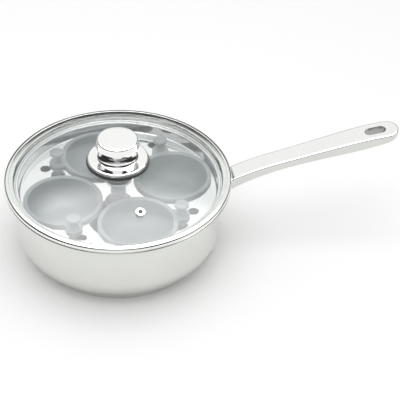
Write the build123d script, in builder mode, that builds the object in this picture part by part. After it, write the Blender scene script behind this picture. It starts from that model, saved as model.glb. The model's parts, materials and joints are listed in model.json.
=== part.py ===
from build123d import *
import os
from math import asin, cos, degrees, pi, radians, sin, sqrt

# Egg poacher pan: a stainless saucepan, a lift-out tray with four cups, and a domed glass lid.
# Millimetres, Z up. The origin is the middle of the flat base, and the handle points along +X.

# Running clearances and cuts
seat_gap = 0.3          # between a seated piece and what carries it
bore_clearance = 0.15   # round a screw in its hole
overrun = 2.0           # how far a cut runs past the faces that it opens

# Pan shell
pan_height = 73.3
wall_radius = 97.4      # outside, at the top of the straight wall
wall_draft = 1.2        # how much narrower the wall is at its foot
pan_sheet = 0.7
corner_radius = 23.3
flare_radius = 7.3      # inside, where the wall turns out into the lip
lip_reach = 8.8         # from the wall's outside to the edge of the lip
lip_bead_radius = 1.1

# Sandwich base
base_thickness = 4.2
base_inset = 13.9       # from the foot of the wall to the edge of the base
cap_sheet = 0.6
cap_edge_radius = 1.0

# Handle, a hollow of two pressed halves
handle_length = 166.6   # from the wall to the tip
handle_root_drop = 6.9  # from the lip down to the top face at the wall
handle_rise = 44.6
handle_sheet = 1.0
handle_root_width = 20.8
handle_waist_width = 20.2
handle_grip_width = 24.4
handle_root_depth = 12.6
handle_waist_depth = 9.4
handle_grip_depth = 11.6
handle_tip_depth = 6.4
handle_crease_radius = 1.3
handle_palm_radius = 3.2
hang_hole_length = 20.0
hang_hole_width = 10.6
hang_hole_inset = 22.0  # from the tip to the middle of the hole
hang_liner_wall = 0.8

# Share of the handle's length, then share of its rise
handle_top_shares = ((0, 0), (0.13, 0.235), (0.37, 0.498), (0.61, 0.73), (0.85, 0.935), (1, 1))
handle_waist_share = 0.3
handle_grip_share = 0.82
handle_seam_share = 0.5     # depth of the seam between the halves

# Weld pad between handle and wall
saddle_thickness = 1.6
saddle_width = 34.0
saddle_height = 15.0
saddle_corner = 4.0

# Tray
tray_depth = 9.2        # from the bead's top to the tray's floor
tray_sheet = 0.6
tray_bead_radius = 1.2
tray_rim_width = 3.6    # from the recess to the middle of the bead
tray_draft = 0.8
tray_bend_radius = 2.4
cup_first_angle = 13.0
cup_count = 4
cup_hole_clearance = 0.7
collar_depth = 3.0
steam_hole_radius = 4.75
steam_hole_inset = 15.95  # from the recess to the middle of a steam hole
steam_first_angle = 58.1

# Cups
cup_edge_gap = 2.05     # between a cup's flange and the tray's recess
cup_spacing = 2.8       # between neighbouring flanges
cup_flange_width = 4.2  # from the bowl's wall to the edge of the flange
cup_depth = 24.0
cup_corner_radius = 17.3
cup_sheet = 1.0
cup_flange_height = 3.0  # above the tray's floor
cup_lip_radius = 0.9     # rounding where bowl and flange meet
ear_reach = 4.8          # from the edge of the flange to the knob's axis
ear_angle = 86.0         # from the outward direction, counter-clockwise
ear_radius = 7.6
ear_edge_radius = 0.35
ear_skirt_lift = 0.3     # of the ear's skirt off the tray

# Cup knobs
cup_knob_radius = 6.8
cup_knob_height = 12.0   # above the flange
cup_knob_button = 4.2    # thickness of the button
cup_knob_neck_radius = 3.2
cup_knob_foot_radius = 4.6
cup_screw_radius = 1.3
cup_screw_head_radius = 2.8
cup_screw_head = 1.1
cup_screw_reach = 8.6    # into the knob

# Tray knob
tray_knob_radius = 13.0
tray_knob_height = 16.0
tray_knob_button = 4.6
tray_knob_neck_radius = 6.4
tray_knob_foot_radius = 7.4
tray_screw_radius = 2.0
tray_screw_head_radius = 4.2
tray_screw_head = 2.2
tray_screw_reach = 10.0
tray_washer_radius = 7.0
tray_washer_thickness = 0.8

# Lid: glass, band and seal
band_inset = 2.7         # from the edge of the pan's lip
band_height = 5.8
band_sheet = 0.5
band_roll_radius = 1.4    # outside, where the band turns in over the glass
band_cover = 3.4         # how far the band's top reaches in over the glass
band_shelf = 5.6         # how far its underside reaches in
band_skirt = 2.0         # how far its inner edge hangs into the pan
glass_thickness = 4.0
glass_rise = 19.1
glass_rim_width = 4.2    # flat rim held in the band
glass_knee_radius = 9.0

# Steam vent
vent_inset = 29.6        # from the dome's edge to the vent
vent_angle = -79.2
vent_bore_radius = 2.5
vent_wall = 0.6
vent_flange_radius = 4.9
vent_flange_height = 1.3
vent_clearance = 0.2
vent_curl_radius = 4.3

# Lid knob
knob_flange_radius = 28.2
knob_flange_edge = 2.2   # height of the rolled edge
knob_flange_crown = 0.5  # rise from the edge to the foot of the body
knob_flange_sheet = 1.0
knob_flange_roll = 1.5
knob_flange_lift = 3.4   # from the top of the glass to the top of the rolled edge
knob_gasket_lip = 1.0    # how far the gasket shows outside the flange
knob_foot_radius = 19.2
knob_waist_radius = 16.8
knob_waist_share = 0.5   # of the body's height
knob_shoulder_radius = 19.2
knob_body_height = 12.6
knob_body_wall = 1.2
knob_groove_depth = 1.6
knob_groove_height = 1.2
knob_cap_radius = 20.3
knob_cap_height = 7.9
knob_cap_crown = 0.8
knob_cap_edge_radius = 1.1
knob_insert_radius = 6.0
knob_screw_radius = 2.5
knob_screw_head_radius = 5.0
knob_screw_head = 3.0
knob_screw_reach = 9.0   # above the flange
under_gasket_radius = 24.0
under_gasket_edge = 1.0  # thickness at its rim
under_washer_radius = 14.0
under_washer_thickness = 1.2

# Sizes that follow from the ones above
flare_start = pan_height - flare_radius
inner_wall_radius = wall_radius - pan_sheet
flare_centre_radius = inner_wall_radius + flare_radius
foot_radius = wall_radius - wall_draft
base_radius = foot_radius - base_inset
bottom_flat_radius = foot_radius - corner_radius
corner_top = base_thickness + corner_radius
lip_radius = wall_radius + lip_reach
lip_bead_centre_radius = lip_radius - lip_bead_radius
lip_bead_centre_height = pan_height - lip_bead_radius
draft_share = wall_draft / (flare_start - corner_top)  # narrowing for each length of height

saddle_face_radius = wall_radius + saddle_thickness
handle_reach = wall_radius + handle_length
handle_root_top = pan_height - handle_root_drop
hang_hole_centre = handle_reach - hang_hole_inset

# The tray's bead rests in the flare: its middle is one flare radius, one bead radius and the gap
# from the flare's centre line, and its height puts it low in the flare
bead_height_share = 0.42
tray_bead_height = flare_start + bead_height_share * flare_radius
bead_reach = flare_radius + tray_bead_radius + seat_gap
bead_inset = sqrt(bead_reach ** 2 - (tray_bead_height - flare_start) ** 2)
tray_bead_centre_radius = flare_centre_radius - bead_inset
tray_floor = tray_bead_height + tray_bead_radius - tray_depth
tray_recess_radius = tray_bead_centre_radius - tray_rim_width

# The cups fill the tray: each flange stands off the recess and off the flanges beside it
steam_pitch_radius = tray_recess_radius - steam_hole_inset
cup_turn_share = sin(pi / cup_count)
cup_room = tray_recess_radius - cup_edge_gap
cup_flange_radius = (2 * cup_turn_share * cup_room - cup_spacing) / (2 + 2 * cup_turn_share)
cup_pitch_radius = cup_room - cup_flange_radius
cup_bowl_radius = cup_flange_radius - cup_flange_width
cup_floor_radius = cup_bowl_radius - cup_corner_radius
ear_distance = cup_flange_radius + ear_reach
cup_outer_radius = cup_bowl_radius + cup_sheet
cup_hole_radius = cup_outer_radius + cup_hole_clearance
cup_flange_top = tray_floor + cup_flange_height

band_radius = lip_radius - band_inset
lid_seat = pan_height + seat_gap
band_top = lid_seat + band_height
glass_edge_radius = band_radius - band_sheet - band_sheet
seal_sheet = (band_height - band_sheet * 2 - glass_thickness) / 2
glass_rim_bottom = lid_seat + band_sheet + seal_sheet
glass_rim_top = glass_rim_bottom + glass_thickness
glass_dome_radius_at_rim = glass_edge_radius - glass_rim_width
glass_apex = glass_rim_top + glass_rise
vent_distance = glass_dome_radius_at_rim - vent_inset
knob_flange_top = glass_apex + knob_flange_lift
dome_radius = (glass_dome_radius_at_rim ** 2 + glass_rise ** 2) / (2 * glass_rise)
dome_centre_height = glass_apex - dome_radius
under_dome_radius = dome_radius - glass_thickness


def at(radius, angle, height=0):
    """A point at a radius and an angle round the pan's axis."""
    return (radius * cos(radians(angle)), radius * sin(radians(angle)), height)


def corner_point(radius):
    """The point of the pan's outer bottom corner at a radius from the axis."""
    run = radius - bottom_flat_radius
    return (radius, corner_top - sqrt(corner_radius ** 2 - run ** 2))


def dome_height(radius, sphere_radius=dome_radius):
    """Height of a sphere about the dome's centre, at a radius from the axis."""
    return dome_centre_height + sqrt(sphere_radius ** 2 - radius ** 2)


def save(piece, name):
    piece.part.label = name
    export_step(piece.part, f"parts/{name}.step")


os.makedirs("parts", exist_ok=True)

# Pan shell: bottom, rounded corner, drafted wall, flare and rolled lip
with BuildPart() as pan_shell:
    with BuildSketch(Plane.XZ):
        with BuildLine():
            slant = corner_radius * sin(pi / 4)
            inner_corner = corner_radius - pan_sheet
            inner_slant = inner_corner * sin(pi / 4)
            turn = flare_radius * sin(pi / 4)
            outer_flare = flare_radius - pan_sheet
            outer_turn = outer_flare * sin(pi / 4)
            floor_top = base_thickness + pan_sheet
            Polyline((0, floor_top), (0, base_thickness), (bottom_flat_radius, base_thickness))
            ThreePointArc((bottom_flat_radius, base_thickness),
                          (bottom_flat_radius + slant, corner_top - slant), (foot_radius, corner_top))
            Line((foot_radius, corner_top), (wall_radius, flare_start))
            ThreePointArc((wall_radius, flare_start),
                          (flare_centre_radius - outer_turn, flare_start + outer_turn),
                          (flare_centre_radius, pan_height - pan_sheet))
            Polyline((flare_centre_radius, pan_height - pan_sheet),
                     (lip_bead_centre_radius, pan_height - pan_sheet),
                     (lip_bead_centre_radius, pan_height), (flare_centre_radius, pan_height))
            ThreePointArc((flare_centre_radius, pan_height),
                          (flare_centre_radius - turn, flare_start + turn),
                          (inner_wall_radius, flare_start))
            Line((inner_wall_radius, flare_start), (foot_radius - pan_sheet, corner_top))
            ThreePointArc((foot_radius - pan_sheet, corner_top),
                          (bottom_flat_radius + inner_slant, corner_top - inner_slant),
                          (bottom_flat_radius, floor_top))
            Line((bottom_flat_radius, floor_top), (0, floor_top))
        make_face()
    revolve(axis=Axis.Z)
    with BuildSketch(Plane.XZ):
        with Locations((lip_bead_centre_radius, lip_bead_centre_height)):
            Circle(lip_bead_radius)
    revolve(axis=Axis.Z)
save(pan_shell, "pan_shell")

# Aluminium core of the base: flat below, and shaped to the pan's bottom corner above
core_radius = base_radius - cap_sheet
core_middle_radius = (core_radius + bottom_flat_radius) / 2
with BuildPart() as base_core:
    with BuildSketch(Plane.XZ):
        with BuildLine():
            Polyline((bottom_flat_radius, base_thickness), (0, base_thickness), (0, cap_sheet),
                     (core_radius, cap_sheet), corner_point(core_radius))
            ThreePointArc(corner_point(core_radius), corner_point(core_middle_radius),
                          (bottom_flat_radius, base_thickness))
        make_face()
    revolve(axis=Axis.Z)
save(base_core, "base_core")

# Steel cap that wraps the core and meets the shell at its rim
cap_middle_radius = (base_radius + core_radius) / 2
with BuildPart() as base_cap:
    with BuildSketch(Plane.XZ):
        with BuildLine():
            Polyline(corner_point(core_radius), (core_radius, cap_sheet), (0, cap_sheet), (0, 0),
                     (base_radius, 0), corner_point(base_radius))
            ThreePointArc(corner_point(base_radius), corner_point(cap_middle_radius),
                          corner_point(core_radius))
        make_face()
    revolve(axis=Axis.Z)
    fillet(base_cap.edges().filter_by(GeomType.CIRCLE).group_by(Axis.Z)[0], radius=cap_edge_radius)
save(base_cap, "base_cap")

# Curved weld pad on the wall, its inner face on the drafted wall
saddle_top = flare_start - seat_gap
saddle_half_angle = degrees(asin(saddle_width / 2 / wall_radius))
with BuildPart() as handle_saddle:
    with BuildSketch(Plane.XZ):
        with BuildLine():
            saddle_foot = saddle_top - saddle_height
            top_slip = (flare_start - saddle_top) * draft_share
            foot_slip = (flare_start - saddle_foot) * draft_share
            Polyline((wall_radius - foot_slip, saddle_foot), (saddle_face_radius, saddle_foot),
                     (saddle_face_radius, saddle_top), (wall_radius - top_slip, saddle_top), close=True)
        make_face()
    revolve(axis=Axis.Z, revolution_arc=saddle_half_angle * 2)
    with BuildSketch(Plane.YZ.rotated((0, 0, saddle_half_angle))):
        with Locations((0, saddle_foot + saddle_height / 2)):
            RectangleRounded(saddle_width, saddle_height, saddle_corner)
    extrude(amount=saddle_face_radius + overrun, mode=Mode.INTERSECT)
handle_saddle.part = handle_saddle.part.rotate(Axis.Z, -saddle_half_angle)
save(handle_saddle, "handle_saddle")


def handle_station(share):
    """Distance from the pan's axis at a share of the handle's length."""
    return wall_radius + handle_length * share


def handle_depth_points():
    """Where the handle's depth is set: root, waist, grip and tip."""
    return ((0, handle_root_depth), (handle_waist_share, handle_waist_depth),
            (handle_grip_share, handle_grip_depth), (1, handle_tip_depth))


def depth_at(share):
    """Depth of the handle at a share of its length, eased between the set places."""
    places = handle_depth_points()
    for (start, before), (end, after) in zip(places, places[1:]):
        if share <= end:
            part = (share - start) / (end - start)
            ease = (1 - cos(pi * part)) / 2
            return before + (after - before) * ease
    return places[-1][1]


def handle_line(drop_share, inset):
    """Points of a line along the handle, a share of the depth below the top, moved down by inset."""
    points = []
    for along, up in handle_top_shares:
        top = handle_root_top + handle_rise * up
        points.append((handle_station(along), top - depth_at(along) * drop_share - inset))
    return points


def handle_solid(inset, upper_share=0, lower_share=1):
    """The handle's body between two lines along it, drawn in by inset on every side."""
    upper_inset = inset if upper_share == 0 else 0
    lower_inset = -inset if lower_share == 1 else 0
    upper = handle_line(upper_share, upper_inset)
    lower = handle_line(lower_share, lower_inset)
    end_radius = handle_grip_width / 2 - inset
    root = wall_radius - overrun * 2
    with BuildPart() as body:
        with BuildSketch(Plane.XZ):
            with BuildLine():
                top_line = Spline(*upper)
                low_line = Spline(*lower)
                Line(top_line @ 1, low_line @ 1)
                Line(top_line @ 0, low_line @ 0)
            make_face()
        extrude(amount=handle_grip_width, both=True)
        with BuildSketch(Plane.XY):
            with BuildLine():
                end_start = handle_reach - handle_grip_width / 2
                waist = handle_station(handle_waist_share)
                flank = Spline((root, handle_root_width / 2 - inset),
                               (waist, handle_waist_width / 2 - inset), (end_start, end_radius),
                               tangents=((1, 0), (1, 0)))
                RadiusArc(flank @ 1, (end_start + end_radius, 0), end_radius)
                Line((end_start + end_radius, 0), (root, 0))
                Line((root, 0), flank @ 0)
            make_face()
            mirror(about=Plane.XZ)
        extrude(amount=handle_root_top + handle_rise + overrun, mode=Mode.INTERSECT)
    return body


def palm_edges(body):
    """The long edges under the handle, which the fingers curl round."""
    long_edges = [edge for edge in body.edges() if edge.length > handle_length / 2]
    return ShapeList(long_edges).sort_by(lambda edge: edge.center().Z)[:2]


def crease_edges(body):
    long_edges = [edge for edge in body.edges() if edge.length > handle_length / 2]
    return ShapeList(long_edges).sort_by(lambda edge: edge.center().Z)[-2:]


def soft_handle(inset):
    """The whole handle with its rounded underside and sharp upper crease."""
    with BuildPart() as body:
        add(handle_solid(inset).part)
        fillet(palm_edges(body), radius=handle_palm_radius - inset)
        fillet(crease_edges(body), radius=handle_crease_radius - inset)
    return body


handle_outside = soft_handle(0)
handle_inside = soft_handle(handle_sheet)
handle_above_seam = handle_solid(-overrun, lower_share=handle_seam_share)
handle_below_seam = handle_solid(-overrun, upper_share=handle_seam_share)

# What the saddle and the hanging hole take out of both halves
with BuildPart() as saddle_room:
    Cylinder(saddle_face_radius, pan_height * 2)
with BuildPart() as hang_hole_room:
    with BuildSketch(Plane.XY):
        with Locations((hang_hole_centre, 0)):
            SlotOverall(hang_hole_length + hang_liner_wall * 2, hang_hole_width + hang_liner_wall * 2)
    extrude(amount=handle_root_top + handle_rise + overrun)

for name, side in (("handle_upper_shell", handle_above_seam), ("handle_lower_shell", handle_below_seam)):
    with BuildPart() as half:
        add(handle_outside.part)
        add(handle_inside.part, mode=Mode.SUBTRACT)
        add(side.part, mode=Mode.INTERSECT)
        add(saddle_room.part, mode=Mode.SUBTRACT)
        add(hang_hole_room.part, mode=Mode.SUBTRACT)
    save(half, name)

# Liner of the hanging hole, flush with the top face and the underside
with BuildPart() as hang_hole_liner:
    add(hang_hole_room.part)
    with BuildSketch(Plane.XY):
        with Locations((hang_hole_centre, 0)):
            SlotOverall(hang_hole_length, hang_hole_width)
    extrude(amount=handle_root_top + handle_rise + overrun, mode=Mode.SUBTRACT)
    add(handle_outside.part, mode=Mode.INTERSECT)
save(hang_hole_liner, "hang_hole_liner")

# Tray: flat floor, drafted recess, rim and bead
tray_under = tray_floor - tray_sheet
rim_top = tray_bead_height + tray_sheet / 2
recess_foot_radius = tray_recess_radius - tray_draft
tray_screw_hole = tray_screw_radius + bore_clearance
cup_places = [cup_first_angle + 360 / cup_count * turn for turn in range(cup_count)]
steam_places = [steam_first_angle + 360 / cup_count * turn for turn in range(cup_count)]
with BuildPart() as tray_plate:
    with BuildSketch(Plane.XZ) as tray_section:
        with BuildLine():
            Polyline((0, tray_floor), (recess_foot_radius, tray_floor), (tray_recess_radius, rim_top),
                     (tray_bead_centre_radius, rim_top),
                     (tray_bead_centre_radius, rim_top - tray_sheet),
                     (tray_recess_radius + tray_sheet, rim_top - tray_sheet),
                     (recess_foot_radius + tray_sheet, tray_under), (0, tray_under), close=True)
        make_face()
        bends = tray_section.vertices().filter_by(
            lambda v: recess_foot_radius - seat_gap < v.X < tray_recess_radius + tray_sheet + seat_gap)
        inner_bends = bends.filter_by(lambda v: v.X in (recess_foot_radius, tray_recess_radius + tray_sheet))
        fillet([v for v in bends if v not in inner_bends], radius=tray_bend_radius / 2)
        fillet(inner_bends, radius=tray_bend_radius / 2)
    revolve(axis=Axis.Z)
    with BuildSketch(Plane.XZ):
        with Locations((tray_bead_centre_radius, tray_bead_height)):
            Circle(tray_bead_radius)
    revolve(axis=Axis.Z)
    with BuildSketch(Plane.XY.offset(tray_under)):
        for angle in cup_places:
            with Locations(at(cup_pitch_radius, angle)[:2]):
                Circle(cup_hole_radius + tray_sheet)
    extrude(amount=-collar_depth)
    with BuildSketch(Plane.XY.offset(tray_floor)):
        for angle in cup_places:
            with Locations(at(cup_pitch_radius, angle)[:2]):
                Circle(cup_hole_radius)
        for angle in steam_places:
            with Locations(at(steam_pitch_radius, angle)[:2]):
                Circle(steam_hole_radius)
        Circle(tray_screw_hole)
    extrude(amount=overrun, both=True, mode=Mode.SUBTRACT)
    with BuildSketch(Plane.XY.offset(tray_floor)):
        for angle in cup_places:
            with Locations(at(cup_pitch_radius, angle)[:2]):
                Circle(cup_hole_radius)
    extrude(amount=-collar_depth - overrun, mode=Mode.SUBTRACT)
    mouths = tray_plate.edges().filter_by(GeomType.CIRCLE).filter_by(
        lambda e: abs(e.radius - cup_hole_radius) < bore_clearance and e.center().Z > tray_under)
    fillet(mouths, radius=tray_sheet)
save(tray_plate, "tray_plate")


def button_knob(plane, radius, height, button, neck_radius, foot_radius, bore_radius, bore_depth):
    """A turned knob: foot, drawn-in neck and rounded button, bored from below for its screw."""
    under = height - button
    edge = button / 2
    neck_height = under / 2
    with BuildPart() as knob:
        with BuildSketch(Plane.XZ):
            with BuildLine():
                Polyline((0, height), (0, 0), (foot_radius, 0))
                foot_curve = Spline((foot_radius, 0), (neck_radius, neck_height), (radius - edge, under),
                                    tangents=((-1, 1), (1, 0)))
                RadiusArc(foot_curve @ 1, (radius, under + edge), -edge)
                Spline((radius, height - edge), (radius - edge, height - edge / 4), (0, height),
                       tangents=((0, 1), (-1, 0)))
            make_face()
        revolve(axis=Axis.Z)
        with BuildSketch(Plane.XY):
            Circle(bore_radius)
        extrude(amount=bore_depth, mode=Mode.SUBTRACT)
    return plane.location * knob.part


def pan_head_screw(plane, shank_radius, head_radius, head_height, reach):
    """A screw pointing up, with the top of its head at the plane."""
    with BuildPart() as screw:
        Cylinder(head_radius, head_height, align=(Align.CENTER, Align.CENTER, Align.MAX))
        fillet(screw.edges().filter_by(GeomType.CIRCLE).sort_by(Axis.Z)[0], radius=head_height / 2)
        Cylinder(shank_radius, reach, align=(Align.CENTER, Align.CENTER, Align.MIN))
        chamfer(screw.edges().filter_by(GeomType.CIRCLE).sort_by(Axis.Z)[-1], length=shank_radius / 4)
    return plane.location * screw.part


def write(shape, name):
    shape.label = name
    export_step(shape, f"parts/{name}.step")


# The tray's lifting knob and its fastening
write(button_knob(Plane((0, 0, tray_floor)), tray_knob_radius, tray_knob_height, tray_knob_button,
                  tray_knob_neck_radius, tray_knob_foot_radius, tray_screw_radius,
                  tray_screw_reach + tray_screw_radius), "tray_knob")
with BuildPart() as tray_knob_washer:
    with BuildSketch(Plane.XY.offset(tray_under)):
        Circle(tray_washer_radius)
        Circle(tray_screw_hole, mode=Mode.SUBTRACT)
    extrude(amount=-tray_washer_thickness)
save(tray_knob_washer, "tray_knob_washer")
washer_under = tray_under - tray_washer_thickness
write(pan_head_screw(Plane((0, 0, washer_under)), tray_screw_radius, tray_screw_head_radius,
                     tray_screw_head, tray_screw_reach + tray_floor - washer_under), "tray_knob_screw")

# One cup, made on its own axis with the flange's top at zero and the outward direction along +X
ear_place = at(ear_distance, ear_angle)
skirt_radius = cup_flange_radius - cup_sheet
with BuildPart() as cup:
    with BuildSketch(Plane.XZ):
        with BuildLine():
            slant = cup_corner_radius * sin(pi / 4)
            outer_corner = cup_corner_radius + cup_sheet
            outer_slant = outer_corner * sin(pi / 4)
            wall_foot = cup_corner_radius - cup_depth
            Polyline((0, -cup_depth - cup_sheet), (0, -cup_depth), (cup_floor_radius, -cup_depth))
            ThreePointArc((cup_floor_radius, -cup_depth),
                          (cup_floor_radius + slant, wall_foot - slant), (cup_bowl_radius, wall_foot))
            Polyline((cup_bowl_radius, wall_foot), (cup_bowl_radius, 0), (cup_flange_radius, 0),
                     (cup_flange_radius, -cup_flange_height), (skirt_radius, -cup_flange_height),
                     (skirt_radius, -cup_sheet), (cup_outer_radius, -cup_sheet),
                     (cup_outer_radius, wall_foot))
            ThreePointArc((cup_outer_radius, wall_foot),
                          (cup_floor_radius + outer_slant, wall_foot - outer_slant),
                          (cup_floor_radius, -cup_depth - cup_sheet))
            Line((cup_floor_radius, -cup_depth - cup_sheet), (0, -cup_depth - cup_sheet))
        make_face()
    revolve(axis=Axis.Z)
    with BuildSketch(Plane.XY):
        with Locations(ear_place[:2]):
            Circle(ear_radius)
        with Locations(Location(at(ear_distance / 2, ear_angle), (0, 0, ear_angle))):
            Rectangle(ear_distance, ear_radius * 2)
        Circle(skirt_radius, mode=Mode.SUBTRACT)
    extrude(amount=-cup_sheet)
    with BuildSketch(Plane.XY):
        for grow, mode in ((0, Mode.ADD), (-cup_sheet, Mode.SUBTRACT)):
            with Locations(ear_place[:2]):
                Circle(ear_radius + grow, mode=mode)
            with Locations(Location(at(ear_distance / 2, ear_angle), (0, 0, ear_angle))):
                Rectangle(ear_distance, (ear_radius + grow) * 2, mode=mode)
        Circle(skirt_radius, mode=Mode.SUBTRACT)
    extrude(amount=ear_skirt_lift - cup_flange_height)
    top_rims = cup.edges().filter_by(GeomType.CIRCLE).filter_by(lambda e: abs(e.center().Z) < seat_gap)
    fillet(top_rims.filter_by(lambda e: abs(e.radius - cup_bowl_radius) < seat_gap), radius=cup_lip_radius)
    fillet(top_rims.filter_by(lambda e: abs(e.radius - cup_bowl_radius) > seat_gap), radius=ear_edge_radius)
    with BuildSketch(Plane.XY):
        with Locations(ear_place[:2]):
            Circle(cup_screw_radius + bore_clearance)
    extrude(amount=overrun, both=True, mode=Mode.SUBTRACT)

cup_knob = button_knob(Plane(ear_place), cup_knob_radius, cup_knob_height, cup_knob_button,
                       cup_knob_neck_radius, cup_knob_foot_radius, cup_screw_radius,
                       cup_screw_reach + cup_screw_radius)
cup_screw = pan_head_screw(Plane(at(ear_distance, ear_angle, -cup_sheet)), cup_screw_radius,
                           cup_screw_head_radius, cup_screw_head, cup_screw_reach + cup_sheet)
for number, angle in enumerate(cup_places, start=1):
    seat = Location(at(cup_pitch_radius, angle, cup_flange_top), (0, 0, angle))
    write(seat * cup.part, f"cup_{number}")
    write(seat * cup_knob, f"cup_{number}_knob")
    write(seat * cup_screw, f"cup_{number}_screw")

# Lid glass: a dome with a flat rim, bored for the knob's screw and for the vent
knob_screw_hole = knob_screw_radius + bore_clearance
vent_slope = degrees(asin(vent_distance / dome_radius))
vent_axis = Plane(at(vent_distance, vent_angle, dome_height(vent_distance)),
                  z_dir=(sin(radians(vent_slope)) * cos(radians(vent_angle)),
                         sin(radians(vent_slope)) * sin(radians(vent_angle)),
                         cos(radians(vent_slope))))
vent_barrel_radius = vent_bore_radius + vent_wall
dome_middle_radius = glass_dome_radius_at_rim / 2
under_rim_radius = sqrt(under_dome_radius ** 2 - (glass_rim_bottom - dome_centre_height) ** 2)
with BuildPart() as lid_glass:
    with BuildSketch(Plane.XZ) as glass_section:
        with BuildLine():
            ThreePointArc((0, glass_apex), (dome_middle_radius, dome_height(dome_middle_radius)),
                          (glass_dome_radius_at_rim, glass_rim_top))
            Polyline((glass_dome_radius_at_rim, glass_rim_top), (glass_edge_radius, glass_rim_top),
                     (glass_edge_radius, glass_rim_bottom), (under_rim_radius, glass_rim_bottom))
            ThreePointArc((under_rim_radius, glass_rim_bottom),
                          (dome_middle_radius, dome_height(dome_middle_radius, under_dome_radius)),
                          (0, glass_apex - glass_thickness))
            Line((0, glass_apex - glass_thickness), (0, glass_apex))
        make_face()
        knees = glass_section.vertices().filter_by(
            lambda v: under_rim_radius - seat_gap < v.X < glass_dome_radius_at_rim + seat_gap and v.X > 0)
        fillet(knees, radius=glass_knee_radius)
    revolve(axis=Axis.Z)
    with BuildSketch(Plane.XY.offset(glass_apex)):
        Circle(knob_screw_hole)
    extrude(amount=glass_thickness + overrun, both=True, mode=Mode.SUBTRACT)
    with BuildSketch(vent_axis):
        Circle(vent_barrel_radius + vent_clearance)
    extrude(amount=glass_thickness + overrun, both=True, mode=Mode.SUBTRACT)
save(lid_glass, "lid_glass")

# Seal folded round the glass's rim, inside the band
seal_inner_radius = glass_edge_radius - glass_rim_width / 2
with BuildPart() as lid_seal:
    with BuildSketch(Plane.XZ) as seal_section:
        with BuildLine():
            channel_radius = band_radius - band_sheet
            Polyline((seal_inner_radius, glass_rim_top), (seal_inner_radius, glass_rim_top + seal_sheet),
                     (channel_radius, glass_rim_top + seal_sheet),
                     (channel_radius, glass_rim_bottom - seal_sheet),
                     (seal_inner_radius, glass_rim_bottom - seal_sheet),
                     (seal_inner_radius, glass_rim_bottom), (glass_edge_radius, glass_rim_bottom),
                     (glass_edge_radius, glass_rim_top), close=True)
        make_face()
        fillet(seal_section.vertices().filter_by(
            lambda v: v.X > glass_edge_radius + band_sheet / 2 and v.Y > glass_rim_top),
            radius=band_roll_radius - band_sheet)
    revolve(axis=Axis.Z)
save(lid_seal, "lid_seal")

# Steel band: an outer face, a lip over the glass, a shelf under it and a short skirt into the pan
with BuildPart() as lid_band:
    with BuildSketch(Plane.XZ) as band_section:
        with BuildLine():
            cover_radius = band_radius - band_cover
            shelf_radius = band_radius - band_shelf
            skirt_foot = lid_seat - band_skirt
            Polyline((cover_radius, band_top), (band_radius, band_top), (band_radius, lid_seat),
                     (shelf_radius + band_sheet, lid_seat), (shelf_radius + band_sheet, skirt_foot),
                     (shelf_radius, skirt_foot), (shelf_radius, lid_seat + band_sheet),
                     (channel_radius, lid_seat + band_sheet), (channel_radius, band_top - band_sheet),
                     (cover_radius, band_top - band_sheet), close=True)
        make_face()
        roll = band_section.vertices().filter_by(
            lambda v: v.X > cover_radius + seat_gap and v.Y > lid_seat + band_height / 2)
        inner_roll = roll.filter_by(lambda v: v.X < channel_radius + seat_gap / 2)
        fillet([v for v in roll if v not in inner_roll], radius=band_roll_radius)
        fillet(inner_roll, radius=band_roll_radius - band_sheet)
    revolve(axis=Axis.Z)
save(lid_band, "lid_band")

# Vent eyelet: a domed ring on the glass, a barrel through it and a curl below
with BuildPart() as vent_eyelet:
    with BuildSketch(Plane.XZ):
        with BuildLine():
            vent_gap = seat_gap / 3
            vent_foot = -glass_thickness - vent_wall
            vent_top = (vent_barrel_radius, vent_flange_height)
            Polyline((vent_bore_radius, vent_foot), (vent_curl_radius, vent_foot),
                     (vent_curl_radius, -glass_thickness - vent_gap),
                     (vent_barrel_radius, -glass_thickness - vent_gap),
                     (vent_barrel_radius, vent_gap), (vent_flange_radius, vent_gap))
            RadiusArc((vent_flange_radius, vent_gap), vent_top, -vent_flange_height * 2)
            Polyline(vent_top, (vent_bore_radius, vent_flange_height - vent_wall / 2),
                     (vent_bore_radius, vent_foot))
        make_face()
    revolve(axis=Axis.Z)
write(vent_axis.location * vent_eyelet.part, "vent_eyelet")

# Knob flange: a pressed dish with a rolled edge
flange_foot = knob_flange_top - knob_flange_edge
flange_crown_top = knob_flange_top + knob_flange_crown
with BuildPart() as knob_flange:
    with BuildSketch(Plane.XZ) as flange_section:
        with BuildLine():
            inner_edge = knob_flange_radius - knob_flange_sheet
            Polyline((knob_screw_hole, flange_crown_top), (knob_foot_radius, flange_crown_top),
                     (knob_flange_radius - knob_flange_roll, knob_flange_top),
                     (knob_flange_radius, knob_flange_top - knob_flange_roll),
                     (knob_flange_radius, flange_foot), (inner_edge, flange_foot),
                     (inner_edge, knob_flange_top - knob_flange_roll - knob_flange_sheet / 2),
                     (knob_flange_radius - knob_flange_roll - knob_flange_sheet / 2,
                      knob_flange_top - knob_flange_sheet),
                     (knob_foot_radius, flange_crown_top - knob_flange_sheet),
                     (knob_screw_hole, flange_crown_top - knob_flange_sheet), close=True)
        make_face()
        roll_corners = flange_section.vertices().filter_by(
            lambda v: v.X > knob_foot_radius + seat_gap and v.Y > flange_foot + seat_gap
            and (abs(v.X - knob_flange_radius) < seat_gap or abs(v.Y - knob_flange_top) < seat_gap))
        fillet(roll_corners, radius=knob_flange_roll)
    revolve(axis=Axis.Z)
save(knob_flange, "knob_flange")

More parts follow.
